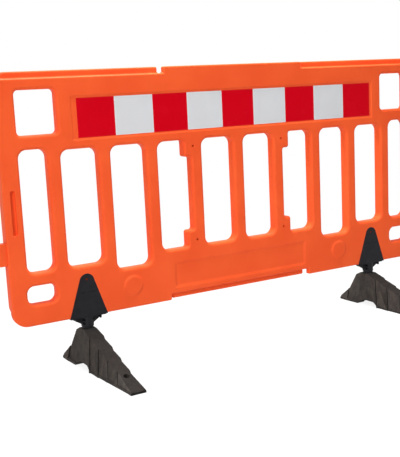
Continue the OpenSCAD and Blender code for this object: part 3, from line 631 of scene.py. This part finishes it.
for side in ("left", "right"):
    foot = softened(side + "_foot", side + "_foot", compound, foot_round).data
    painted_shade = foot.attributes.new("painted_shade", "FLOAT", "FACE")
    # Upward faces get the lighter painted shade, and step faces that face the tip get the darker.
    for face in foot.polygons:
        ridge_shade = FOOT_RIDGE_SHADE if face.normal.z > FOOT_RIDGE_RISE else 0.0
        on_step = face.normal.y < FOOT_STEP_LEAN
        painted_shade.data[face.index].value = FOOT_STEP_SHADE if on_step else ridge_shade

# Studio
# A pale floor, one large soft lamp to the front left and above, a broad one overhead, and an even
# white surround. The camera stands in front, left of the barrier's left end and level with its rail.
CAMERA_PLACE = (-1.7891, -2.6619, 0.9939)
CAMERA_YAW = 0.520503
CAMERA_PITCH = 0.168669
CAMERA_ROLL = 0.048172
CAMERA_SENSOR = 36
CAMERA_LENS = 834.853 / 457 * CAMERA_SENSOR
SURROUND_LIGHT = 0.26
WHITE = (1, 1, 1, 1)
FLOOR_HALF = 30
FLOOR_SEEN = (0.93, 0.93, 0.93, 1)
FLOOR_BOUNCE = (0.55, 0.55, 0.55, 1)
FLOOR_FADE_FROM = 1.2
FLOOR_FADE_TO = 3.2


def eye_rays(tree):
    """Which rays leave the camera, and which show it a surface straight, mirrored or through another."""
    ray = add(tree, "ShaderNodeLightPath").outputs
    mirrored = add(tree, "ShaderNodeMath", {
        0: ray["Is Camera Ray"], 1: ray["Is Glossy Ray"]}, operation="MAXIMUM")
    seen = add(tree, "ShaderNodeMath", {
        0: mirrored.outputs[0], 1: ray["Is Transmission Ray"]}, operation="MAXIMUM")
    return ray["Is Camera Ray"], seen.outputs[0]


scene = bpy.context.scene
scene.view_settings.view_transform = "Standard"
level_ahead = math.cos(CAMERA_PITCH)
ahead = Vector((
    math.sin(CAMERA_YAW) * level_ahead, math.cos(CAMERA_YAW) * level_ahead, -math.sin(CAMERA_PITCH)))
right = Vector((math.cos(CAMERA_YAW), -math.sin(CAMERA_YAW), 0))
down = ahead.cross(right)
tilted_right = math.cos(CAMERA_ROLL) * right + math.sin(CAMERA_ROLL) * down
tilted_down = math.cos(CAMERA_ROLL) * down - math.sin(CAMERA_ROLL) * right
camera = bpy.data.objects.new("camera", bpy.data.cameras.new("camera"))
camera.data.lens = CAMERA_LENS
camera.data.sensor_width = CAMERA_SENSOR
turned = Matrix((tilted_right, -tilted_down, -ahead)).transposed().to_4x4()
camera.matrix_world = Matrix.Translation(CAMERA_PLACE) @ turned
scene.collection.objects.link(camera)
scene.camera = camera

for name, lamp_place, aim, size, power in (
        ("soft_key", (-6.0, -5.2, 4.2), (0.0, 0.15, 0.5), 3.0, 385),
        ("overhead", (-0.2, 0.3, 3.4), (0.0, 0.15, 0.5), 2.0, 212)):
    lamp = bpy.data.objects.new(name, bpy.data.lights.new(name, "AREA"))
    lamp.data.shape = "DISK"
    lamp.data.size = size
    lamp.data.energy = power
    facing = (Vector(aim) - Vector(lamp_place)).to_track_quat("-Z", "Y").to_matrix().to_4x4()
    lamp.matrix_world = Matrix.Translation(lamp_place) @ facing
    scene.collection.objects.link(lamp)

world = bpy.data.worlds.new("white_surround")
world.use_nodes = True
tree = world.node_tree
tree.nodes.clear()
seen = eye_rays(tree)[1]
level = add(tree, "ShaderNodeMapRange", {"Value": seen, "To Min": SURROUND_LIGHT, "To Max": 1.0})
sky = add(tree, "ShaderNodeBackground", {"Color": WHITE, "Strength": level.outputs["Result"]})
add(tree, "ShaderNodeOutputWorld", {"Surface": sky.outputs[0]})
scene.world = world

# Floor paint: white where the camera looks, with a soft shade left under the feet that fades outward.
# It throws back less light than the camera sees of it, so that undersides stay in shade.
pale, tree = new_finish("pale_studio_floor")
first, seen = eye_rays(tree)
place = add(tree, "ShaderNodeTexCoord").outputs["Object"]
away = add(tree, "ShaderNodeVectorMath", {0: place}, operation="LENGTH")
fade = add(tree, "ShaderNodeMapRange", {
    "Value": away.outputs["Value"], "From Min": FLOOR_FADE_FROM, "From Max": FLOOR_FADE_TO,
    "To Min": 0.85, "To Max": 1.0}, interpolation_type="SMOOTHSTEP")
share = add(tree, "ShaderNodeMath", {0: seen, 1: fade.outputs["Result"]}, operation="MULTIPLY")
tone = add(tree, "ShaderNodeMixRGB", {"Fac": first, "Color1": FLOOR_BOUNCE, "Color2": FLOOR_SEEN})
paint = add(tree, "ShaderNodeBsdfDiffuse", {"Color": tone.outputs["Color"]})
white = add(tree, "ShaderNodeEmission", {"Color": WHITE, "Strength": 1.0})
ground = add(tree, "ShaderNodeMixShader", {
    "Fac": share.outputs[0], 1: paint.outputs[0], 2: white.outputs[0]})
add(tree, "ShaderNodeOutputMaterial", {"Surface": ground.outputs[0]})
floor_mesh = bpy.data.meshes.new("floor")
corners = [(x * FLOOR_HALF, y * FLOOR_HALF, 0) for x, y in ((-1, -1), (1, -1), (1, 1), (-1, 1))]
floor_mesh.from_pydata(corners, [], [(0, 1, 2, 3)])
floor_mesh.materials.append(pale)
floor = bpy.data.objects.new("floor", floor_mesh)
scene.collection.objects.link(floor)
